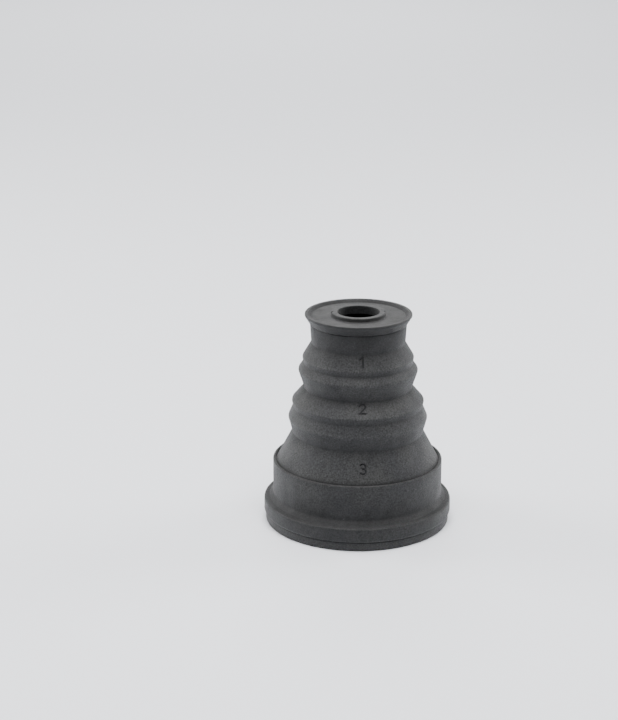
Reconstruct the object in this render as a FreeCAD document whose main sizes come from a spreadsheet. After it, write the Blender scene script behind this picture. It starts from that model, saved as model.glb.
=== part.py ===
import FreeCAD, Part
import os
import Sketcher

# A collapsible snoot for a round flash head. It stands on its flange, with the
# head side down and the light aperture up. Everything is turned about +Z and
# z = 0 is the flange's lower face. All sizes are in millimetres.
#
# A soft flange and skirt carry two bands and a tip, each joined to the one
# below by a thin conical web. A web turns inside out when its band is pushed
# down, so the snoot shortens in three steps. A ring of magnets sits in a rigid
# carrier inside the flange.

DIMENSIONS = {
    # base: flange, skirt and magnet ring
    "flange_radius": 41.0,
    "flange_lower_radius": 40.2,
    "flange_groove_radius": 39.7,
    "flange_groove_low": 3.8,
    "flange_groove_high": 4.4,
    "flange_edge_height": 10.2,
    "flange_valley_radius": 38.4,
    "flange_valley_height": 10.7,
    "flange_height": 12.2,
    "flange_rounding": 1.2,
    "register_radius": 37.6,
    "register_depth": 3.0,
    "skirt_radius": 37.0,
    "skirt_wall": 2.4,
    "skirt_top": 28.0,
    "skirt_rounding": 0.9,
    "seam_radius": 35.4,
    "seam_width": 0.2,
    "seam_height": 27.4,
    "carrier_radius": 37.2,
    "carrier_inner_radius": 30.5,
    "carrier_top": 10.6,
    "carrier_chamfer": 1.2,
    "retainer_thickness": 1.0,
    "magnet_radius": 3.0,
    "magnet_thickness": 3.0,
    "magnet_gap": 0.05,
    "magnet_circle_radius": 34.0,
    "magnet_count": 8,
    "window_radius": 2.3,
    "window_rounding": 0.25,
    "peg_radius": 1.5,
    "peg_length": 2.5,
    # webs and bands
    "web_wall": 1.1,
    "web_gap": 0.15,
    "band_wall": 1.8,
    "waist_wall": 1.2,
    "shoulder_wall": 0.7,
    "lower_fold_radius": 28.5,
    "lower_fold_height": 40.6,
    "lower_crest_radius": 30.3,
    "lower_crest_height": 47.3,
    "lower_waist_radius": 28.2,
    "lower_waist_height": 52.2,
    "lower_shoulder_radius": 28.7,
    "lower_shoulder_height": 54.8,
    "upper_fold_radius": 23.4,
    "upper_fold_height": 60.9,
    "upper_crest_radius": 26.0,
    "upper_crest_height": 68.7,
    "upper_waist_radius": 23.7,
    "upper_waist_height": 71.9,
    "upper_shoulder_radius": 24.1,
    "upper_shoulder_height": 74.4,
    # tip: neck, rim, front disc and aperture collar
    "tip_fold_radius": 20.3,
    "tip_fold_height": 80.8,
    "tip_neck_radius": 20.9,
    "tip_neck_height": 89.3,
    "rim_radius": 23.1,
    "rim_edge_height": 92.8,
    "rim_top": 93.6,
    "rim_inner_radius": 21.4,
    "rim_rounding": 0.3,
    "disc_radius": 20.3,
    "disc_top": 92.5,
    "disc_bottom": 90.4,
    "collar_radius": 11.8,
    "collar_top": 94.2,
    "aperture_radius": 9.1,
}


# The centres of the first magnet, which is on the X axis, and of the first peg,
# which stands half way to the next magnet on the same circle.
MAGNET_CENTRE = ("Dims.magnet_circle_radius", None)
PEG_CENTRE = (
    "Dims.magnet_circle_radius * cos(180 / Dims.magnet_count)",
    "Dims.magnet_circle_radius * sin(180 / Dims.magnet_count)",
)


def value_of(text):
    """Add up a coordinate written as names joined by + and -."""
    total = 0.0
    sign = 1.0
    for word in text.split():
        if word in "+-":
            sign = 1.0 if word == "+" else -1.0
        else:
            total += sign * DIMENSIONS[word]
    return total


def expression_of(text):
    """Write the same coordinate as an expression on the sheet's aliases."""
    return " ".join(word if word in "+-" else "Dims." + word for word in text.split())


def make_sheet(doc):
    sheet = doc.addObject("Spreadsheet::Sheet", "Dims")
    for row, (alias, number) in enumerate(DIMENSIONS.items(), start=1):
        sheet.set("A%d" % row, alias)
        sheet.set("B%d" % row, str(number))
        sheet.setAlias("B%d" % row, alias)
    doc.recompute()
    return sheet


def origin_plane(body, role):
    return next(item for item in body.Origin.OriginFeatures if item.Role == role)


def new_sketch(body, name, role, height=None):
    """Attach a sketch to one of the body's own planes, raised to a height."""
    sketch = body.newObject("Sketcher::SketchObject", name)
    sketch.AttachmentSupport = [(origin_plane(body, role), "")]
    sketch.MapMode = "FlatFace"
    if height is not None:
        sketch.setExpression("AttachmentOffset.Base.z", expression_of(height))
    return sketch


def pin_point(sketch, line, number, radius, height):
    """Hold a profile corner at its radius and height from the sheet."""
    column = sketch.addConstraint(
        Sketcher.Constraint("DistanceX", -1, 1, line, 1, value_of(radius)))
    sketch.renameConstraint(column, "radius_%d" % number)
    sketch.setExpression("Constraints.radius_%d" % number, expression_of(radius))
    if height == "":
        sketch.addConstraint(Sketcher.Constraint("PointOnObject", line, 1, -1))
        return
    level = sketch.addConstraint(
        Sketcher.Constraint("DistanceY", -1, 1, line, 1, value_of(height)))
    sketch.renameConstraint(level, "height_%d" % number)
    sketch.setExpression("Constraints.height_%d" % number, expression_of(height))


def turned_body(doc, name, corners):
    """Revolve a closed profile of (radius, height) corners about Z.

    An empty height puts the corner on the base plane.
    """
    body = doc.addObject("PartDesign::Body", name)
    body.Label = name
    sketch = new_sketch(body, name + "_profile", "XZ_Plane")
    points = []
    for radius, height in corners:
        level = 0.0 if height == "" else value_of(height)
        points.append(FreeCAD.Vector(value_of(radius), level, 0))
    count = len(points)
    for index in range(count):
        sketch.addGeometry(Part.LineSegment(points[index], points[(index + 1) % count]), False)
    for index in range(count):
        sketch.addConstraint(
            Sketcher.Constraint("Coincident", index, 2, (index + 1) % count, 1))
    for index, (radius, height) in enumerate(corners):
        pin_point(sketch, index, index + 1, radius, height)
    turn = body.newObject("PartDesign::Revolution", name + "_turn")
    turn.Profile = sketch
    turn.ReferenceAxis = (sketch, ["V_Axis"])
    turn.Angle = 360.0
    doc.recompute()
    return body


def round_edges(doc, body, size, places):
    """Round every circular edge that has one of the given radii and heights."""
    base = body.Tip
    names = []
    for index, edge in enumerate(base.Shape.Edges, start=1):
        if not isinstance(edge.Curve, Part.Circle):
            continue
        for radius, height in places:
            level = 0.0 if height == "" else value_of(height)
            same_radius = abs(edge.Curve.Radius - value_of(radius)) < 1e-4
            if same_radius and abs(edge.Curve.Center.z - level) < 1e-4:
                names.append("Edge%d" % index)
    fillet = body.newObject("PartDesign::Fillet", body.Name + "_rounding")
    fillet.Base = (base, names)
    fillet.setExpression("Radius", expression_of(size))
    body.Tip = fillet
    doc.recompute()


def circle_sketch(body, name, height, radius, centre_x, centre_y):
    """Sketch one circle on the XY plane, with its centre given as expressions.

    A centre with no second expression stays on the X axis.
    """
    sketch = new_sketch(body, name, "XY_Plane", height)
    start = FreeCAD.Vector(value_of("magnet_circle_radius"), 0, 0)
    if centre_y is not None:
        start.y = value_of(radius)
    sketch.addGeometry(Part.Circle(start, FreeCAD.Vector(0, 0, 1), value_of(radius)), False)
    size = sketch.addConstraint(Sketcher.Constraint("Radius", 0, value_of(radius)))
    sketch.setExpression("Constraints[%d]" % size, expression_of(radius))
    across = sketch.addConstraint(Sketcher.Constraint("DistanceX", -1, 1, 0, 3, start.x))
    sketch.setExpression("Constraints[%d]" % across, centre_x)
    if centre_y is None:
        sketch.addConstraint(Sketcher.Constraint("PointOnObject", 0, 3, -1))
    else:
        up = sketch.addConstraint(Sketcher.Constraint("DistanceY", -1, 1, 0, 3, start.y))
        sketch.setExpression("Constraints[%d]" % up, centre_y)
    return sketch


def repeat_round(doc, body, feature, sketch):
    """Repeat a feature once per magnet about Z."""
    pattern = body.newObject("PartDesign::PolarPattern", feature.Name + "_pattern")
    pattern.Originals = [feature]
    pattern.Axis = (sketch, ["N_Axis"])
    pattern.Angle = 360.0
    pattern.setExpression("Occurrences", "Dims.magnet_count")
    body.Tip = pattern
    doc.recompute()


def make_base_flange(doc):
    """The two-tier soft flange, with the register that a flash head enters."""
    body = turned_body(doc, "base_flange", [
        ("register_radius", ""),
        ("flange_lower_radius", ""),
        ("flange_lower_radius", "flange_groove_low"),
        ("flange_groove_radius", "flange_groove_low"),
        ("flange_groove_radius", "flange_groove_high"),
        ("flange_radius", "flange_groove_high"),
        ("flange_radius", "flange_edge_height"),
        ("flange_valley_radius", "flange_valley_height"),
        ("skirt_radius", "flange_height"),
        ("skirt_radius", "carrier_top"),
        ("carrier_radius", "carrier_top"),
        ("carrier_radius", "register_depth"),
        ("register_radius", "register_depth"),
    ])
    round_edges(doc, body, "flange_rounding", [("flange_radius", "flange_edge_height")])
    return body


def make_skirt(doc):
    """The straight soft sleeve, with a ledge inside its lip for the first web."""
    body = turned_body(doc, "skirt", [
        ("skirt_radius - skirt_wall", "carrier_top"),
        ("skirt_radius", "carrier_top"),
        ("skirt_radius", "skirt_top"),
        ("seam_radius + seam_width", "skirt_top"),
        ("seam_radius + seam_width", "seam_height"),
        ("skirt_radius - skirt_wall", "seam_height"),
    ])
    round_edges(doc, body, "skirt_rounding", [("skirt_radius", "skirt_top")])
    return body


def make_magnet_carrier(doc):
    """The rigid ring inside the flange, with a pocket for each magnet and peg."""
    floor = "register_depth + retainer_thickness"
    body = turned_body(doc, "magnet_carrier", [
        ("carrier_inner_radius", floor),
        ("carrier_radius", floor),
        ("carrier_radius", "carrier_top"),
        ("carrier_inner_radius + carrier_chamfer", "carrier_top"),
        ("carrier_inner_radius", "carrier_top - carrier_chamfer"),
    ])
    pockets = [
        ("magnet_pocket", "magnet_radius + magnet_gap", "magnet_thickness + magnet_gap", MAGNET_CENTRE),
        ("peg_socket", "peg_radius", "peg_length", PEG_CENTRE),
    ]
    for name, radius, depth, centre in pockets:
        sketch = circle_sketch(body, name + "_outline", floor, radius, *centre)
        cut = body.newObject("PartDesign::Pocket", name)
        cut.Profile = sketch
        cut.Type = "Length"
        cut.setExpression("Length", expression_of(depth))
        cut.Reversed = True
        doc.recompute()
        repeat_round(doc, body, cut, sketch)
    return body


def make_magnet_retainer(doc):
    """The thin cover ring that meets the flash, with a window over each magnet."""
    body = turned_body(doc, "magnet_retainer", [
        ("carrier_inner_radius", "register_depth"),
        ("carrier_radius", "register_depth"),
        ("carrier_radius", "register_depth + retainer_thickness"),
        ("carrier_inner_radius", "register_depth + retainer_thickness"),
    ])
    sketch = circle_sketch(
        body, "peg_outline", "register_depth + retainer_thickness", "peg_radius", *PEG_CENTRE)
    peg = body.newObject("PartDesign::Pad", "peg")
    peg.Profile = sketch
    peg.setExpression("Length", expression_of("peg_length"))
    doc.recompute()
    repeat_round(doc, body, peg, sketch)
    outline = circle_sketch(
        body, "window_outline", "register_depth", "window_radius", *MAGNET_CENTRE)
    window = body.newObject("PartDesign::Pocket", "magnet_window")
    window.Profile = outline
    window.Type = "Length"
    window.setExpression("Length", expression_of("retainer_thickness"))
    window.Reversed = True
    doc.recompute()
    repeat_round(doc, body, window, outline)
    round_edges(doc, body, "window_rounding", [
        ("window_radius", "register_depth"),
        ("carrier_inner_radius", "register_depth"),
    ])
    return body


def make_magnets(doc):
    """The disc magnets, each a piece of its own in its pocket."""
    magnets = []
    for number in range(1, DIMENSIONS["magnet_count"] + 1):
        disc = doc.addObject("Part::Cylinder", "magnet_%d" % number)
        disc.Label = "magnet_%d" % number
        disc.setExpression("Radius", "Dims.magnet_radius")
        disc.setExpression("Height", "Dims.magnet_thickness")
        turn = "360 * %d / Dims.magnet_count" % (number - 1)
        disc.setExpression("Placement.Base.x", "Dims.magnet_circle_radius * cos(%s)" % turn)
        disc.setExpression("Placement.Base.y", "Dims.magnet_circle_radius * sin(%s)" % turn)
        disc.setExpression(
            "Placement.Base.z", expression_of("register_depth + retainer_thickness"))
        magnets.append(disc)
    doc.recompute()
    return magnets


def make_web(doc, name, low, high):
    """A thin conical wall that turns inside out, clear of the band above it."""
    low_radius, low_height = low
    high_radius, high_height = high
    return turned_body(doc, name, [
        (low_radius + " - web_wall", low_height),
        (low_radius, low_height),
        (high_radius, high_height + " - web_gap"),
        (high_radius + " - web_wall", high_height + " - web_gap"),
    ])


def make_band_taper(doc, name, level):
    """The undercut wall that rises from a fold to a band's crest."""
    fold = (level + "_fold_radius", level + "_fold_height")
    crest = (level + "_crest_radius", level + "_crest_height")
    return turned_body(doc, name, [
        (fold[0] + " - band_wall", fold[1]),
        fold,
        crest,
        (crest[0] + " - band_wall", crest[1]),
    ])


def make_band(doc, name, level):
    """The stiff bead from a band's crest, over its waist, to its shoulder.

    Its inside opens towards the shoulder, to leave room for the folded web.
    """
    crest = (level + "_crest_radius", level + "_crest_height")
    waist = (level + "_waist_radius", level + "_waist_height")
    shoulder = (level + "_shoulder_radius", level + "_shoulder_height")
    return turned_body(doc, name, [
        (crest[0] + " - band_wall", crest[1]),
        crest,
        waist,
        shoulder,
        (shoulder[0] + " - shoulder_wall", shoulder[1]),
        (waist[0] + " - waist_wall", waist[1]),
    ])


def make_tip(doc):
    """The neck, flared rim, recessed front disc and raised aperture collar."""
    neck = turned_body(doc, "tip_neck", [
        ("tip_fold_radius - band_wall", "tip_fold_height"),
        ("tip_fold_radius", "tip_fold_height"),
        ("tip_neck_radius", "tip_neck_height"),
        ("tip_neck_radius - band_wall", "tip_neck_height"),
    ])
    rim = turned_body(doc, "tip_rim", [
        ("tip_neck_radius - band_wall", "tip_neck_height"),
        ("tip_neck_radius", "tip_neck_height"),
        ("rim_radius", "rim_edge_height"),
        ("rim_radius", "rim_top"),
        ("rim_inner_radius", "rim_top"),
        ("disc_radius", "disc_top"),
        ("disc_radius", "disc_bottom"),
        ("tip_neck_radius - band_wall", "disc_bottom"),
    ])
    round_edges(doc, rim, "rim_rounding", [("rim_radius", "rim_top"), ("rim_inner_radius", "rim_top")])
    disc = turned_body(doc, "front_disc", [
        ("collar_radius", "disc_bottom"),
        ("disc_radius", "disc_bottom"),
        ("disc_radius", "disc_top"),
        ("collar_radius", "disc_top"),
    ])
    collar = turned_body(doc, "aperture_collar", [
        ("aperture_radius", "disc_bottom"),
        ("collar_radius", "disc_bottom"),
        ("collar_radius", "collar_top"),
        ("aperture_radius", "collar_top"),
    ])
    round_edges(doc, collar, "rim_rounding", [("collar_radius", "collar_top")])
    return [neck, rim, disc, collar]


def build(doc):
    make_sheet(doc)
    pieces = [make_base_flange(doc), make_skirt(doc)]
    pieces += [make_magnet_carrier(doc), make_magnet_retainer(doc)]
    pieces += make_magnets(doc)
    webs = [
        ("fold_web_3", ("seam_radius", "seam_height"),
         ("lower_fold_radius", "lower_fold_height")),
        ("fold_web_2", ("lower_shoulder_radius", "lower_shoulder_height"),
         ("upper_fold_radius", "upper_fold_height")),
        ("fold_web_1", ("upper_shoulder_radius", "upper_shoulder_height"),
         ("tip_fold_radius", "tip_fold_height")),
    ]
    for name, low, high in webs:
        pieces.append(make_web(doc, name, low, high))
    for level in ("lower", "upper"):
        pieces.append(make_band_taper(doc, level + "_band_taper", level))
        pieces.append(make_band(doc, level + "_band", level))
    pieces += make_tip(doc)
    doc.recompute()
    return pieces


def check(doc, pieces):
    """Stop if any object failed or any piece has no sound solid."""
    for item in doc.Objects:
        if "Invalid" in item.State or "Error" in item.State:
            raise RuntimeError("%s failed: %s" % (item.Name, item.State))
    for piece in pieces:
        if piece.Shape.isNull() or not piece.Shape.isValid():
            raise RuntimeError("%s has no valid shape" % piece.Label)


def write(pieces):
    os.makedirs("parts", exist_ok=True)
    for piece in pieces:
        piece.Shape.exportStep("parts/%s.step" % piece.Label)
        box = piece.Shape.optimalBoundingBox()
        print("%-16s %8.1f mm3  z %.2f to %.2f  x %.2f to %.2f" % (
            piece.Label, piece.Shape.Volume, box.ZMin, box.ZMax, box.XMin, box.XMax))


document = FreeCAD.newDocument("snoot")
parts = build(document)
check(document, parts)
write(parts)
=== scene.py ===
import math
import bpy
import numpy as np
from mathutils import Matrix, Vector


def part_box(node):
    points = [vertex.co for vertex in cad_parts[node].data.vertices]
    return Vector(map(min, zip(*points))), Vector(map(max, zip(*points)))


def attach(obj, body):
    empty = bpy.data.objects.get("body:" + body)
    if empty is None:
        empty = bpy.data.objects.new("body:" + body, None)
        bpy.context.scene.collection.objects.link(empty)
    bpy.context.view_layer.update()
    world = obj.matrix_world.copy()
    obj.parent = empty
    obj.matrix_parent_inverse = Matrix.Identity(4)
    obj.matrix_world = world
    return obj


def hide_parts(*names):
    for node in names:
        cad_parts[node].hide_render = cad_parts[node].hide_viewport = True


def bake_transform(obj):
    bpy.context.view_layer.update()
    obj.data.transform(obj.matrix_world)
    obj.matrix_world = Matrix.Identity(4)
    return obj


# The soft snoot's skin, its numerals, materials, lights and camera. Every soft
# piece is an outline turned about the frame's Z axis. Outlines are made from
# stations of (height, outer radius, inner radius), read from the CAD nodes.
# Lengths are in millimetres until a mesh is made, and angle 0 faces -Y.

MM = 0.001

# How finely a surface is turned: sides all round, steps along straight runs and round arcs.
SIDES = 288
RUN_STEP = 0.6
ARC_STEP = math.radians(9)
# Half the angle between two runs that are too nearly in line to round.
STRAIGHT = math.radians(89)
# The most of a run that the rounding at one end of it takes up.
RUN_SHARE = 0.48

# The numerals' size, and the fine grid they are drawn on.
NUMERAL_HEIGHT = 4.7
NUMERAL_STROKE = 0.7
NUMERAL_DEPTH = 0.42
NUMERAL_EDGE = 0.1
NUMERAL_SPAN = 3.4
NUMERAL_GRID = 0.11

# The flange's lower tier: how far it is set in, and the groove at its top.
TIER_INSET = 0.8
TIER_TOP = 3.7
GROOVE_DEPTH = 0.4
GROOVE_HEIGHT = 4.0
# The hollow from the flange's rounded lip up to the skirt.
HOLLOW_HEIGHT = 2.0
# Where the flange's skin ends and the skirt's begins.
CUT = 18.0
# A folding web's thickness, measured level.
WEB_THICKNESS = 1.1
# How far the front disc's skin stops short of its step and of the collar.
JOINT_INSET = 2.2

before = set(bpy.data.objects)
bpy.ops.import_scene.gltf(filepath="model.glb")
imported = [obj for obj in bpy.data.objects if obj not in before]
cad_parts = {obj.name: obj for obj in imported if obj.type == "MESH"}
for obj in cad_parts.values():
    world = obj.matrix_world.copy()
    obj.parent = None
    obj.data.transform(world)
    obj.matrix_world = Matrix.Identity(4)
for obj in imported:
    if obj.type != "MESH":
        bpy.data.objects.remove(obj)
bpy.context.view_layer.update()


# ---------------------------------------------------------------- the frame

def stations(node):
    """The node's (height, outer radius, inner radius) at each of its corner circles."""
    levels = {}
    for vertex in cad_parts[node].data.vertices:
        height = round(vertex.co.z / MM, 2)
        levels.setdefault(height, []).append(math.hypot(vertex.co.x, vertex.co.y) / MM)
    return [(height, max(radii), min(radii)) for height, radii in sorted(levels.items())]


def ends(node):
    """The node's lowest and highest stations."""
    levels = stations(node)
    return levels[0], levels[-1]


def between(low, high, share):
    """A station part of the way up a straight wall."""
    return tuple(a + (b - a) * share for a, b in zip(low, high))


# ------------------------------------------------- painted shade in creases and shelter, paler edges

flange_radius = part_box("base_flange")[1].x / MM
skirt_low, skirt_high = ends("skirt")
skirt_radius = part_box("skirt")[1].x / MM
skirt_inner = skirt_low[2]
skirt_top = skirt_high[0]
carrier_top = skirt_low[0]
carrier_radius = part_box("magnet_carrier")[1].x / MM
register_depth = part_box("magnet_retainer")[0].z / MM
register_radius = stations("base_flange")[0][2]
seam = stations("fold_web_3")[0]
lip = ends("base_flange")[1][0] - HOLLOW_HEIGHT
rim_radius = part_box("tip_rim")[1].x / MM
rim_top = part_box("tip_rim")[1].z / MM
disc_low, disc_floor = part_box("front_disc")[0].z / MM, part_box("front_disc")[1].z / MM
disc_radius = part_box("front_disc")[1].x / MM
collar_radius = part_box("aperture_collar")[1].x / MM
collar_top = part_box("aperture_collar")[1].z / MM
aperture = stations("aperture_collar")[0][2]


def waist(level):
    """A band's narrowest station."""
    return min(stations(level + "_band"), key=lambda station: station[1])


def circle(station, weight, spread):
    """A station's outer circle, with how strongly and how far it is felt."""
    return station[1], station[0], weight, spread


# Each row below is a circle on the surface: (radius, height, weight, spread).

# Painted shade: dark lines in the hollow corners.
CREASES = [
    circle(seam, 1.0, 1.4),
    circle(ends("lower_band_taper")[0], 0.4, 0.9),
    circle(waist("lower"), 0.45, 0.8),
    circle(ends("upper_band_taper")[0], 0.5, 0.9),
    circle(waist("upper"), 0.6, 0.8),
    circle(ends("tip_neck")[0], 0.45, 0.9),
    circle(ends("tip_neck")[1], 0.9, 1.2),
    (disc_radius, disc_floor, 0.8, 0.55),
    (collar_radius, disc_floor, 0.35, 0.45),
    (flange_radius - TIER_INSET - GROOVE_DEPTH, GROOVE_HEIGHT, 0.3, 0.35),
]
# Painted shade, wider, where a part stands under or beside another.
SHELTERS = [
    circle(ends("lower_band_taper")[0], 0.45, 3.0),
    circle(ends("upper_band_taper")[0], 0.5, 3.0),
    circle(ends("tip_neck")[0], 0.35, 3.0),
    circle(ends("tip_neck")[1], 1.0, 8.0),
    (skirt_radius, lip + 3.0, 0.7, 9.0),
    (flange_radius - 2.4, lip + 0.9, 1.0, 2.2),
]
# Slightly paler edges: rubbed wear, with painted highlight on the lips of the skirt and flange and
# painted bounce light on the flange's lower tier.
EDGES = [
    circle(ends("lower_band_taper")[1], 0.5, 0.9),
    circle(ends("upper_band_taper")[1], 0.5, 0.9),
    circle(ends("fold_web_2")[0], 0.35, 0.7),
    circle(ends("fold_web_1")[0], 0.45, 0.7),
    # Painted highlight on the skirt's lip.
    (skirt_radius, skirt_top - 0.5, 0.2, 0.4),
    # Painted highlight on the flange's lip.
    (flange_radius - 0.4, lip + 0.1, 0.8, 0.8),
    (flange_radius - 0.2, 4.4, 0.5, 0.4),
    # Painted bounce light on the flange's lower tier.
    (flange_radius - TIER_INSET, 1.6, 0.8, 2.0),
    (rim_radius, rim_top, 0.5, 0.5),
    (collar_radius, collar_top, 0.6, 0.4),
    (aperture, collar_top, 0.5, 0.4),
]


# ---------------------------------------------------------- turned surfaces

def rounded(corners):
    """Round a closed outline of (radius, height, rounding, step) corners.

    A corner's step is for the run after it, and may be left out. Gives the
    points, which of them are sharp corners, and which run each is on.
    """
    count = len(corners)
    spots = [np.array(corner[:2], float) for corner in corners]
    points, sharp, runs = [], [], []
    arcs = []
    for index in range(count):
        here = spots[index]
        back = spots[index - 1] - here
        ahead = spots[(index + 1) % count] - here
        back_length = np.linalg.norm(back)
        ahead_length = np.linalg.norm(ahead)
        back, ahead = back / back_length, ahead / ahead_length
        half = math.acos(max(-1.0, min(1.0, float(back @ ahead)))) / 2
        rounding = corners[index][2]
        if rounding == 0 or half > STRAIGHT:
            arcs.append(([here], rounding == 0))
            continue
        shorter = min(back_length, ahead_length)
        reach = min(rounding / math.tan(half), RUN_SHARE * shorter)
        radius = reach * math.tan(half)
        middle = back + ahead
        middle = here + middle / np.linalg.norm(middle) * radius / math.sin(half)
        start = here + back * reach - middle
        stop = here + ahead * reach - middle
        turn = math.pi - 2 * half
        steps = max(3, int(math.ceil(turn / ARC_STEP)))
        side = math.copysign(1, start[0] * stop[1] - start[1] * stop[0])
        arc = []
        for step in range(steps + 1):
            angle = side * turn * step / steps
            cos, sin = math.cos(angle), math.sin(angle)
            arc.append(middle + np.array(
                [start[0] * cos - start[1] * sin, start[0] * sin + start[1] * cos]))
        arcs.append((arc, False))
    for index in range(count):
        arc, is_sharp = arcs[index]
        for point in arc:
            points.append(point)
            sharp.append(is_sharp)
            runs.append(-1)
        finish = arcs[(index + 1) % count][0][0]
        span = np.linalg.norm(finish - arc[-1])
        step_size = corners[index][3] if len(corners[index]) > 3 else RUN_STEP
        pieces = int(math.ceil(span / step_size - 1e-6))
        for step in range(1, pieces):
            points.append(arc[-1] + (finish - arc[-1]) * step / pieces)
            sharp.append(False)
            runs.append(index)
    return np.array(points), np.array(sharp), np.array(runs)


def nearness(points, circles):
    """How strongly each outline point feels (radius, height, weight, spread) circles."""
    total = np.zeros(len(points))
    for radius, height, weight, spread in circles:
        away = np.hypot(points[:, 0] - radius, points[:, 1] - height)
        total += weight * np.exp(-(away / spread) ** 2)
    return np.clip(total, 0, 1)


def outline_normals(points, sharp):
    """Outward normals. A sharp corner takes the normal of the longer run beside it."""
    ahead = np.roll(points, -1, axis=0) - points
    back = np.roll(ahead, 1, axis=0)
    across = ahead + back
    corners = np.flatnonzero(sharp)
    for index, corner in enumerate(corners):
        after = (corners[(index + 1) % len(corners)] - corner) % len(points)
        before = (corner - corners[index - 1]) % len(points)
        across[corner] = ahead[corner] if after > before else back[corner]
    across /= np.linalg.norm(across, axis=1)[:, None]
    return np.stack([across[:, 1], -across[:, 0]], axis=1)


def turned(name, corners, angles=None, relief=None):
    """Turn a closed outline about Z into a closed mesh.

    Corners run anticlockwise in (radius, height). A relief gives grids of
    radius, height and painted recess shade with marks for the angles and outline.
    """
    points, sharp, runs = rounded(corners)
    if angles is None:
        angles = np.linspace(0, 2 * math.pi, SIDES, endpoint=False)
    normal = outline_normals(points, sharp)
    radius = np.broadcast_to(points[:, 0], (len(angles), len(points)))
    height = np.broadcast_to(points[:, 1], (len(angles), len(points)))
    recess_shade_and_mark = np.zeros_like(radius)
    if relief is not None:
        radius, height, recess_shade_and_mark = relief(angles, points, normal, runs)
    co = np.stack([
        radius * np.sin(angles)[:, None],
        -radius * np.cos(angles)[:, None],
        height,
    ], axis=2).reshape(-1, 3) * MM
    columns, rows = len(angles), len(points)
    i, j = np.meshgrid(np.arange(columns), np.arange(rows), indexing="ij")
    i_next, j_next = (i + 1) % columns, (j + 1) % rows
    faces = np.stack([
        i * rows + j, i_next * rows + j, i_next * rows + j_next, i * rows + j_next,
    ], axis=2).reshape(-1, 4)
    mesh = bpy.data.meshes.new(name)
    mesh.from_pydata(co.tolist(), [], faces.tolist())
    mesh.polygons.foreach_set("use_smooth", np.ones(len(faces), bool))
    edges = np.zeros(len(mesh.edges) * 2, int)
    mesh.edges.foreach_get("vertices", edges)
    edges = edges.reshape(-1, 2) % rows
    hard = (edges[:, 0] == edges[:, 1]) & sharp[edges[:, 0]]
    mesh.attributes.new("sharp_edge", "BOOLEAN", "EDGE").data.foreach_set("value", hard)
    # Colour layers: paler edges (rubbed wear and painted highlight), painted shade in creases and
    # sheltered places, upward faces lighter (settled dust and painted top light), and painted shade
    # in recesses with marks.
    layers = {
        "edge_wear_and_highlight": nearness(points, EDGES),
        "crease": nearness(points, CREASES),
        "shelter": nearness(points, SHELTERS),
        # Upward faces lighter and downward ones darker: settled dust and painted top light.
        "dust_and_top_light": np.clip(0.5 + normal[:, 1], 0, 1),
        "recess_shade_and_mark": recess_shade_and_mark,
    }
    for title, values in layers.items():
        values = np.broadcast_to(values, radius.shape).astype(np.float32)
        mesh.attributes.new(title, "FLOAT", "POINT").data.foreach_set("value", values.ravel())
    mesh.update()
    piece = bpy.data.objects.new(name, mesh)
    bpy.context.scene.collection.objects.link(piece)
    return piece


def wall_corners(wall):
    """The closed outline of a wall of (height, outer, inner, outer rounding, inner rounding)."""
    outside = [(outer, height, rounding) for height, outer, _, rounding, _ in wall]
    inside = [(inner, height, rounding) for height, _, inner, _, rounding in reversed(wall)]
    return outside + inside


# ----------------------------------------------------------------- numerals

def arc_points(centre_x, centre_y, radius, start, stop, count=14):
    """Points of an arc, with its angles in degrees."""
    angles = np.radians(np.linspace(start, stop, count))
    return [(centre_x + radius * math.cos(a), centre_y + radius * math.sin(a)) for a in angles]


# Each numeral is one stroke in a box that is 1 high and centred on 0, 0.
NUMERALS = {
    1: [(-0.17, 0.27), (0.07, 0.46), (0.07, -0.46)],
    2: arc_points(0, 0.2, 0.26, 165, -35) + [(-0.27, -0.46), (0.29, -0.46)],
    3: arc_points(-0.01, 0.22, 0.24, 150, -90) + arc_points(-0.01, -0.22, 0.24, 90, -150),
}


def stroke_distance(x, y, stroke):
    """How far each point lies from a polyline."""
    nearest = np.full(x.shape, 1e9)
    for (ax, ay), (bx, by) in zip(stroke[:-1], stroke[1:]):
        dx, dy = bx - ax, by - ay
        length = dx * dx + dy * dy
        if length < 1e-12:
            continue
        share = np.clip(((x - ax) * dx + (y - ay) * dy) / length, 0, 1)
        nearest = np.minimum(nearest, np.hypot(x - ax - share * dx, y - ay - share * dy))
    return nearest


def numeral_relief(number, low, high, centre_share):
    """A relief that sinks a numeral into the cone between two stations, with its bottom painted
    dark as painted shade.

    The outline's first run is the cone. The numeral's middle lies the given
    share of the way up it.
    """
    stroke = [(x * NUMERAL_HEIGHT, y * NUMERAL_HEIGHT) for x, y in NUMERALS[number]]
    foot = np.array([low[1], low[0]])
    slope = np.array([high[1], high[0]]) - foot
    length = np.linalg.norm(slope)
    slope /= length

    def relief(angles, points, normal, runs):
        along = (points - foot) @ slope - centre_share * length
        on_cone = runs == 0
        turn = (angles + math.pi) % (2 * math.pi) - math.pi
        x = turn[:, None] * points[None, :, 0]
        y = np.broadcast_to(along, x.shape)
        inside = NUMERAL_STROKE / 2 + NUMERAL_EDGE - stroke_distance(x, y, stroke)
        share = np.clip(inside / (2 * NUMERAL_EDGE), 0, 1)
        # The mask also paints the numeral's bottom dark, as painted shade.
        mask = share * share * (3 - 2 * share) * on_cone[None, :]
        depth = mask * NUMERAL_DEPTH
        return points[:, 0] - depth * normal[:, 0], points[:, 1] - depth * normal[:, 1], mask

    return relief


def numeral_angles(radius):
    """Angles all round, with a fine band for the numeral at the front."""
    half = NUMERAL_SPAN / 2 / radius
    fine = np.linspace(-half, half, int(NUMERAL_SPAN / NUMERAL_GRID))
    coarse = np.linspace(half, 2 * math.pi - half, SIDES)[1:-1]
    return np.concatenate([fine, coarse])


# ------------------------------------------------------------------ notches

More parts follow.
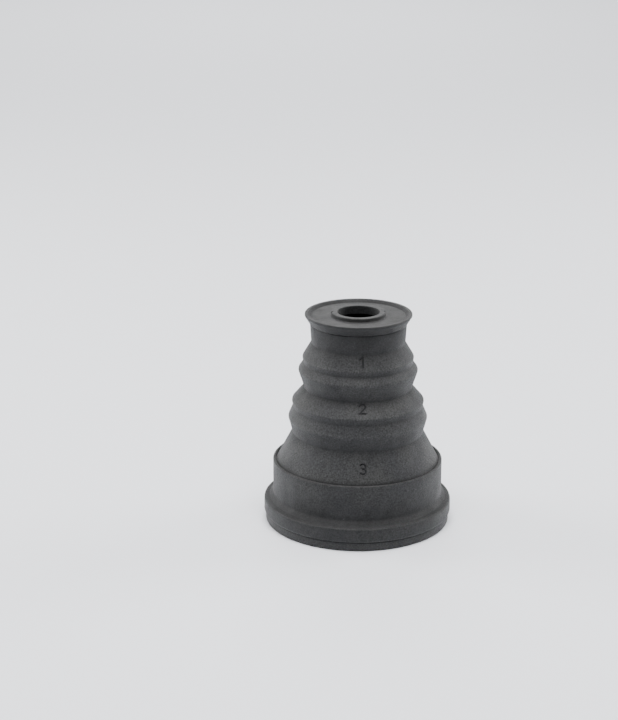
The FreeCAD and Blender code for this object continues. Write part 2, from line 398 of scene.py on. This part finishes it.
# Angles in radians. The notches stand at the collar's left and right.
NOTCH_HALF = 0.05
NOTCH_EDGE = 0.015
NOTCH_DEPTH = 0.9
NOTCH_FLOOR = 0.3
GATE_HALF = 0.012


def from_notch(angles):
    """How far each angle is from the nearer notch's middle."""
    return np.abs(np.abs(angles - math.pi) - math.pi / 2)


def notch_angles():
    """Angles all round, with a fine band across each notch."""
    angles = np.linspace(0, 2 * math.pi, SIDES, endpoint=False)
    clear = from_notch(angles) > 2 * NOTCH_HALF
    fine = np.linspace(-2 * NOTCH_HALF, 2 * NOTCH_HALF, 25)
    return np.sort(np.concatenate([angles[clear], math.pi / 2 + fine, 3 * math.pi / 2 + fine]))


def notch_relief(angles, points, normal, runs):
    """Cuts a small slot down each side of the collar, with its inside painted dark as painted
    shade, and a dark gate mark beside one.
    """
    across = np.clip((NOTCH_HALF - from_notch(angles)) / NOTCH_EDGE + 0.5, 0, 1)
    on_wall = np.clip((points[:, 1] - disc_floor - NOTCH_FLOOR) / 0.1, 0, 1)
    mask = across[:, None] * on_wall[None, :]
    bottom = np.minimum(points[:, 0], collar_radius - NOTCH_DEPTH)
    radius = points[:, 0] + (bottom - points[:, 0]) * mask
    height = np.broadcast_to(points[:, 1], radius.shape)
    gate = np.clip(1.5 - np.abs(angles - math.pi / 2) / GATE_HALF, 0, 1)
    beside = (points[:, 0] > collar_radius + 0.6) & (points[:, 1] > disc_floor - 0.01)
    # Painted shade inside the slot.
    recess_shade_and_mark = mask * (points[:, 0] > collar_radius - 2 * NOTCH_DEPTH)
    return radius, height, np.maximum(recess_shade_and_mark, 0.7 * gate[:, None] * beside[None, :])


# ---------------------------------------------------------------- materials

def new_material(name):
    """A new material, with its nodes and links."""
    material = bpy.data.materials.new(name)
    material.use_nodes = True
    return material, material.node_tree.nodes, material.node_tree.links


def noise(nodes, links, scale, detail, roughness=0.5):
    """3-D noise at a scale per metre, in the frame's own coordinates."""
    where = nodes.new("ShaderNodeTexCoord")
    texture = nodes.new("ShaderNodeTexNoise")
    texture.inputs["Scale"].default_value = scale
    texture.inputs["Detail"].default_value = detail
    texture.inputs["Roughness"].default_value = roughness
    links.new(where.outputs["Object"], texture.inputs["Vector"])
    return texture.outputs["Fac"]


def ramp(nodes, links, value, low, high, bottom=0.0, top=1.0):
    """Map a value's low to high onto bottom to top, clamped."""
    node = nodes.new("ShaderNodeMapRange")
    node.inputs["From Min"].default_value = low
    node.inputs["From Max"].default_value = high
    node.inputs["To Min"].default_value = bottom
    node.inputs["To Max"].default_value = top
    links.new(value, node.inputs["Value"])
    return node.outputs["Result"]


def layer(nodes, name):
    """A value that the turned surface carries."""
    node = nodes.new("ShaderNodeAttribute")
    node.attribute_name = name
    return node.outputs["Fac"]


def maths(nodes, links, operation, first, second):
    """An operation on two values, each a number or a socket."""
    node = nodes.new("ShaderNodeMath")
    node.operation = operation
    for socket, value in zip(node.inputs, (first, second)):
        if isinstance(value, (int, float)):
            socket.default_value = value
        else:
            links.new(value, socket)
    return node.outputs[0]


def mix(nodes, links, share, first, second):
    """Mix two colours, each a tuple or a socket, by a socket's share of the second."""
    node = nodes.new("ShaderNodeMix")
    node.data_type = "RGBA"
    share_in, first_in, second_in = node.inputs[0], node.inputs[6], node.inputs[7]
    links.new(share, share_in)
    for socket, value in ((first_in, first), (second_in, second)):
        if isinstance(value, tuple):
            socket.default_value = (*value, 1.0)
        else:
            links.new(value, socket)
    return node.outputs[2]


def scaled(nodes, links, colour, factor):
    """A colour made lighter or darker by a factor."""
    node = nodes.new("ShaderNodeVectorMath")
    node.operation = "SCALE"
    links.new(colour, node.inputs[0])
    links.new(factor, node.inputs["Scale"])
    return node.outputs[0]


def bump(nodes, links, height, distance, under=None):
    """Normals for a height of 0 to 1 times a distance in metres, over other normals if given."""
    node = nodes.new("ShaderNodeBump")
    node.inputs["Distance"].default_value = distance
    node.inputs["Strength"].default_value = 1.0
    links.new(height, node.inputs["Height"])
    if under is not None:
        links.new(under, node.inputs["Normal"])
    return node.outputs["Normal"]


# The silicone's shades, as linear colours: plain, paler mottling, paler edges (rubbed wear and
# painted highlight), dust specks, and painted shade for creases and sheltered places.
SILICONE = (0.0170, 0.0174, 0.0190)
SILICONE_LIGHT = (0.0250, 0.0252, 0.0248)
SILICONE_WORN_AND_HIGHLIT = (0.062, 0.061, 0.059)
SILICONE_DUST = (0.16, 0.16, 0.155)
SILICONE_PAINTED_SHADE = (0.005, 0.005, 0.0055)
# Painted shade in the bottoms of the numerals and notches, also used for the dark gate mark.
RECESS_SHADE_AND_MARK = (0.004, 0.004, 0.005)


def silicone_material():
    """Matte dark grey silicone: fine grain, faint mottling, paler edges (rubbed wear and painted
    highlight), dust specks, upward faces lighter (settled dust and painted top light), and painted
    shade in creases, sheltered places and recesses.
    """
    material, nodes, links = new_material("matte_silicone")
    shader = nodes["Principled BSDF"]
    mottling = ramp(nodes, links, noise(nodes, links, 55, 4), 0.35, 0.65)
    grain = noise(nodes, links, 1500, 5, 0.7)
    # Paler edges: partly rubbed wear, partly painted highlight.
    worn_and_highlit = maths(nodes, links, "MULTIPLY", layer(nodes, "edge_wear_and_highlight"),
                   ramp(nodes, links, noise(nodes, links, 420, 5, 0.6), 0.3, 0.7, 0.15, 0.5))
    # Painted shade where a part stands under or beside another.
    shade = maths(nodes, links, "MULTIPLY", layer(nodes, "shelter"), 0.85)
    # Grain, times upward faces painted lighter and downward faces darker: settled dust and painted
    # top light.
    brightness = maths(nodes, links, "MULTIPLY",
                       ramp(nodes, links, grain, 0.36, 0.64, 0.3, 1.7),
                       ramp(nodes, links, layer(nodes, "dust_and_top_light"), 0, 1, 0.64, 0.98))
    specks = ramp(nodes, links, noise(nodes, links, 1700, 1), 0.76, 0.79, 0.0, 0.3)
    colour = mix(nodes, links, mottling, SILICONE, SILICONE_LIGHT)
    # Paler edges: rubbed wear and painted highlight.
    colour = mix(nodes, links, worn_and_highlit, colour, SILICONE_WORN_AND_HIGHLIT)
    # Painted shade in sheltered places.
    colour = mix(nodes, links, shade, colour, SILICONE_PAINTED_SHADE)
    # Painted shade in the creases.
    colour = mix(nodes, links, layer(nodes, "crease"), colour, SILICONE_PAINTED_SHADE)
    colour = scaled(nodes, links, colour, brightness)
    colour = mix(nodes, links, specks, colour, SILICONE_DUST)
    # Painted shade in the numeral and notch recesses, and the dark gate mark.
    colour = mix(nodes, links, layer(nodes, "recess_shade_and_mark"), colour, RECESS_SHADE_AND_MARK)
    links.new(colour, shader.inputs["Base Color"])
    rough = ramp(nodes, links, noise(nodes, links, 160, 4), 0.3, 0.7, 0.6, 0.74)
    rough = maths(nodes, links, "SUBTRACT", rough, maths(nodes, links, "MULTIPLY", worn_and_highlit, 0.12))
    links.new(rough, shader.inputs["Roughness"])
    shader.inputs["IOR"].default_value = 1.41
    shader.inputs["Sheen Weight"].default_value = 0.1
    shader.inputs["Sheen Roughness"].default_value = 0.45
    skin = bump(nodes, links, noise(nodes, links, 480, 3), 0.00006)
    links.new(bump(nodes, links, grain, 0.00015, under=skin), shader.inputs["Normal"])
    return material


def plastic_material():
    """Black moulded plastic with a fine spark-eroded grain."""
    material, nodes, links = new_material("moulded_plastic")
    shader = nodes["Principled BSDF"]
    mottling = noise(nodes, links, 90, 4)
    colour = mix(nodes, links, mottling, (0.011, 0.011, 0.012), (0.02, 0.02, 0.021))
    links.new(colour, shader.inputs["Base Color"])
    links.new(ramp(nodes, links, mottling, 0.3, 0.7, 0.42, 0.56), shader.inputs["Roughness"])
    grain = noise(nodes, links, 6500, 2)
    links.new(bump(nodes, links, grain, 0.00003), shader.inputs["Normal"])
    return material


def nickel_material():
    """Nickel plate on a ground magnet: faint scratches and duller patches."""
    material, nodes, links = new_material("nickel_plate")
    shader = nodes["Principled BSDF"]
    shader.inputs["Metallic"].default_value = 1.0
    patches = noise(nodes, links, 700, 4)
    colour = mix(nodes, links, patches, (0.56, 0.53, 0.48), (0.66, 0.64, 0.6))
    links.new(colour, shader.inputs["Base Color"])
    links.new(ramp(nodes, links, patches, 0.3, 0.7, 0.16, 0.34), shader.inputs["Roughness"])
    stretch = nodes.new("ShaderNodeMapping")
    stretch.inputs["Scale"].default_value = (600, 14000, 600)
    where = nodes.new("ShaderNodeTexCoord")
    scratches = nodes.new("ShaderNodeTexNoise")
    scratches.inputs["Scale"].default_value = 1.0
    links.new(where.outputs["Object"], stretch.inputs["Vector"])
    links.new(stretch.outputs["Vector"], scratches.inputs["Vector"])
    links.new(bump(nodes, links, scratches.outputs["Fac"], 0.000006), shader.inputs["Normal"])
    return material


def floor_material():
    """Plain pale paper."""
    material, nodes, _ = new_material("pale_floor")
    shader = nodes["Principled BSDF"]
    shader.inputs["Base Color"].default_value = (0.90, 0.915, 0.955, 1)
    shader.inputs["Roughness"].default_value = 0.9
    return material


silicone = silicone_material()
plastic = plastic_material()
nickel = nickel_material()


# ------------------------------------------------------------------- pieces

def soft(piece, *nodes):
    """Give a soft piece its material, and let it stand for CAD nodes."""
    piece.data.materials.append(silicone)
    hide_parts(*nodes)
    return piece


def make_flange():
    """The two-tier flange: a step with a fine groove, a rounded lip and a hollow to the skirt."""
    tier = flange_radius - TIER_INSET
    piece = turned("base_flange_skin", [
        (register_radius, 0, 0.2),
        (tier, 0, 0.5),
        (tier, TIER_TOP, 0.25),
        (tier - GROOVE_DEPTH, GROOVE_HEIGHT, 0.12),
        (flange_radius - 0.25, GROOVE_HEIGHT + 0.2, 0.2),
        (flange_radius, 5.0, 0.6),
        (flange_radius, lip + 0.2, 1.5),
        (flange_radius - 2.2, lip + 0.4, 1.0),
        (skirt_radius, lip + 2.6, 1.8),
        (skirt_radius, CUT, 0),
        (skirt_inner, CUT, 0),
        (skirt_inner, carrier_top, 0),
        (carrier_radius, carrier_top, 0),
        (carrier_radius, register_depth, 0),
        (register_radius, register_depth, 0.1),
    ])
    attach(soft(piece, "base_flange"), "base")


def make_skirt():
    """The straight sleeve, with a rounded lip and the fine slot that web 3 rises from."""
    slot = seam[1]
    slot_floor = seam[0] - 0.3
    piece = turned("skirt_skin", [
        (skirt_inner, CUT, 0),
        (skirt_radius, CUT, 0),
        (skirt_radius, skirt_top, 0.9),
        (slot + 0.5, skirt_top, 0.2),
        (slot + 0.2, slot_floor, 0.05),
        (skirt_inner, slot_floor, 0),
    ])
    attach(soft(piece, "skirt"), "base")


def make_web(number, before, foot, fold, after, centre_share):
    """A folding web with its numeral, from one stiff wall to the next.

    before and after are the stations where the stiff walls are cut, and before
    is None where the web rises from a slot. The web is thin.
    """
    foot_station = (foot[0], foot[1], foot[1] - WEB_THICKNESS)
    fold_station = (fold[0], fold[1], fold[1] - WEB_THICKNESS)
    if before is None:
        wall = [(*foot_station, 0.1, 0.1)]
    else:
        wall = [(*before, 0, 0), (*foot_station, 0.8, 0.6)]
    cone_run = len(wall) - 1
    wall += [(*fold_station, 0.7, 0.5), (*after, 0, 0)]
    corners = wall_corners(wall)
    corners = corners[cone_run:] + corners[:cone_run]
    corners[0] = (*corners[0], NUMERAL_GRID)
    middle = (foot[1] + fold[1]) / 2
    name = "fold_web_%d" % number
    piece = turned(
        name + "_skin", corners, numeral_angles(middle),
        numeral_relief(number, foot, fold, centre_share))
    soft(piece, name)
    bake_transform(piece)


def make_wall(node, body, wall):
    """A stiff soft wall that rides on one body."""
    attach(soft(turned(node + "_skin", wall_corners(wall)), node), body)


def make_stage(level, body):
    """A stage's undercut taper and bead.

    Gives the fold and cut where the web below joins it, and the cut and
    shoulder where the web above does.
    """
    fold, crest = ends(level + "_band_taper")
    shoulder = ends(level + "_band")[1]
    low_cut = between(fold, crest, 0.3)
    mid_cut = between(fold, crest, 0.68)
    high_cut = between(waist(level), shoulder, 0.5)
    make_wall(level + "_band_taper", body, [(*low_cut, 0, 0), (*mid_cut, 0, 0)])
    make_wall(level + "_band", body, [
        (*mid_cut, 0, 0),
        (*crest, 1.5, 1.0),
        (*waist(level), 1.2, 1.0),
        (*high_cut, 0, 0),
    ])
    return fold, low_cut, high_cut, shoulder


def make_tip():
    """The neck, flared rim, recessed disc and raised aperture collar.

    Gives the fold and cut where web 1 joins the neck.
    """
    fold, neck_top = ends("tip_neck")
    low_cut = between(fold, neck_top, 0.25)
    high_cut = between(fold, neck_top, 0.72)
    make_wall("tip_neck", "tip", [(*low_cut, 0, 0), (*high_cut, 0, 0)])
    outer_joint = disc_radius - JOINT_INSET
    inner_joint = collar_radius + JOINT_INSET
    rim = turned("tip_rim_skin", [
        (high_cut[2], high_cut[0], 0),
        (high_cut[1], high_cut[0], 0),
        (neck_top[1] - 0.05, neck_top[0] - 0.4, 0.2),
        (neck_top[1] - 0.3, neck_top[0] - 0.1, 0.1),
        (neck_top[1] + 0.15, neck_top[0] + 0.1, 0.1),
        (rim_radius, rim_top - 0.9, 0.35),
        (rim_radius, rim_top, 0.3),
        (rim_radius - 1.5, rim_top, 0.3),
        (disc_radius, disc_floor, 0.2),
        (outer_joint, disc_floor, 0),
        (outer_joint, disc_low, 0),
        (neck_top[2], disc_low, 0.6),
    ])
    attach(soft(rim, "tip_rim"), "tip")
    disc = turned("front_disc_skin", [
        (inner_joint, disc_low, 0),
        (outer_joint, disc_low, 0),
        (outer_joint, disc_floor, 0),
        (inner_joint, disc_floor, 0),
    ])
    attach(soft(disc, "front_disc"), "tip")
    collar = turned("aperture_collar_skin", [
        (aperture, disc_low, 0.25),
        (inner_joint, disc_low, 0),
        (inner_joint, disc_floor, 0),
        (collar_radius, disc_floor, 0.35, 0.2),
        (collar_radius - 0.15, collar_top, 0.45),
        (aperture, collar_top, 0.35),
    ], notch_angles(), notch_relief)
    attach(soft(collar, "aperture_collar"), "tip")
    return fold, low_cut


def make_soft_body():
    """All the soft pieces, from the flange to the tip."""
    make_flange()
    make_skirt()
    lower_fold, lower_low, lower_high, lower_shoulder = make_stage("lower", "lower_stage")
    upper_fold, upper_low, upper_high, upper_shoulder = make_stage("upper", "upper_stage")
    tip_fold, tip_low = make_tip()
    make_web(3, None, seam, lower_fold, lower_low, 0.5)
    make_web(2, lower_high, lower_shoulder,
             upper_fold, upper_low, 0.62)
    make_web(1, upper_high, upper_shoulder, tip_fold, tip_low, 0.57)


def dress_rigid_parts():
    """Materials for the carrier, retainer and magnets, which keep their CAD shape."""
    for node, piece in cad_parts.items():
        if node.startswith("magnet_"):
            rigid = node in ("magnet_carrier", "magnet_retainer")
            piece.data.materials.clear()
            piece.data.materials.append(plastic if rigid else nickel)


# -------------------------------------------------------------- the studio

FLOOR_HALF = 4.0


def make_floor():
    """A plain pale floor at Z = 0."""
    mesh = bpy.data.meshes.new("floor")
    corners = [(x * FLOOR_HALF, y * FLOOR_HALF, 0) for x, y in ((-1, -1), (1, -1), (1, 1), (-1, 1))]
    mesh.from_pydata(corners, [], [(0, 1, 2, 3)])
    floor = bpy.data.objects.new("floor", mesh)
    bpy.context.scene.collection.objects.link(floor)
    mesh.materials.append(floor_material())


def make_light(name, place, aim, size, power):
    """A square soft box at a place, turned to face a point. Metres and watts."""
    data = bpy.data.lights.new(name, "AREA")
    data.shape = "SQUARE"
    data.size = size
    data.energy = power
    lamp = bpy.data.objects.new(name, data)
    bpy.context.scene.collection.objects.link(lamp)
    lamp.location = place
    lamp.rotation_euler = (Vector(aim) - Vector(place)).to_track_quat("-Z", "Y").to_euler()


def make_studio():
    """The floor, soft boxes above, beside and behind, one for the far floor, and a dim sky."""
    make_floor()
    middle = (0, 0, 0.05)
    make_light("top_box", (0.0, -0.25, 1.2), middle, 0.8, 26.0)
    make_light("left_box", (-1.0, 0.4, 0.5), middle, 0.6, 11.0)
    make_light("right_box", (1.0, 0.4, 0.5), middle, 0.6, 9.2)
    make_light("back_box", (0.0, 3.0, 1.9), middle, 2.0, 14.0)
    make_light("floor_box", (0.0, 1.9, 1.3), (0.0, 1.9, 0.0), 1.2, 30.0)
    world = bpy.data.worlds.new("studio")
    world.use_nodes = True
    sky = world.node_tree.nodes["Background"]
    sky.inputs["Color"].default_value = (0.93, 0.95, 1.0, 1)
    sky.inputs["Strength"].default_value = 0.25
    bpy.context.scene.world = world


# The lens is set against the picture's long side, in pixels. The target lies
# right of and below the picture's middle, by the pixels given last.
PICTURE_LENGTH = 720
CAMERA_DISTANCE = 0.802
CAMERA_ELEVATION = math.radians(19.7)
CAMERA_AZIMUTH = math.radians(-4.4)
CAMERA_LENS = 91.6
CAMERA_SENSOR = 36
TARGET_RIGHT = 49.2
TARGET_DOWN = 67.9


def make_camera():
    """The camera at the photograph's angle."""
    target = Vector((0, 0, flange_radius * MM))
    toward = Vector((
        math.sin(CAMERA_AZIMUTH) * math.cos(CAMERA_ELEVATION),
        -math.cos(CAMERA_AZIMUTH) * math.cos(CAMERA_ELEVATION),
        math.sin(CAMERA_ELEVATION),
    ))
    right = Vector((math.cos(CAMERA_AZIMUTH), math.sin(CAMERA_AZIMUTH), 0))
    up = toward.cross(right)
    data = bpy.data.cameras.new("camera")
    data.sensor_width = CAMERA_SENSOR
    data.lens = CAMERA_LENS
    pixel = CAMERA_DISTANCE * CAMERA_SENSOR / CAMERA_LENS / PICTURE_LENGTH
    aim = target - right * TARGET_RIGHT * pixel + up * TARGET_DOWN * pixel
    camera = bpy.data.objects.new("camera", data)
    bpy.context.scene.collection.objects.link(camera)
    camera.location = target + toward * CAMERA_DISTANCE
    camera.rotation_euler = (aim - camera.location).to_track_quat("-Z", "Y").to_euler()
    bpy.context.scene.camera = camera


make_soft_body()
dress_rigid_parts()
make_studio()
make_camera()
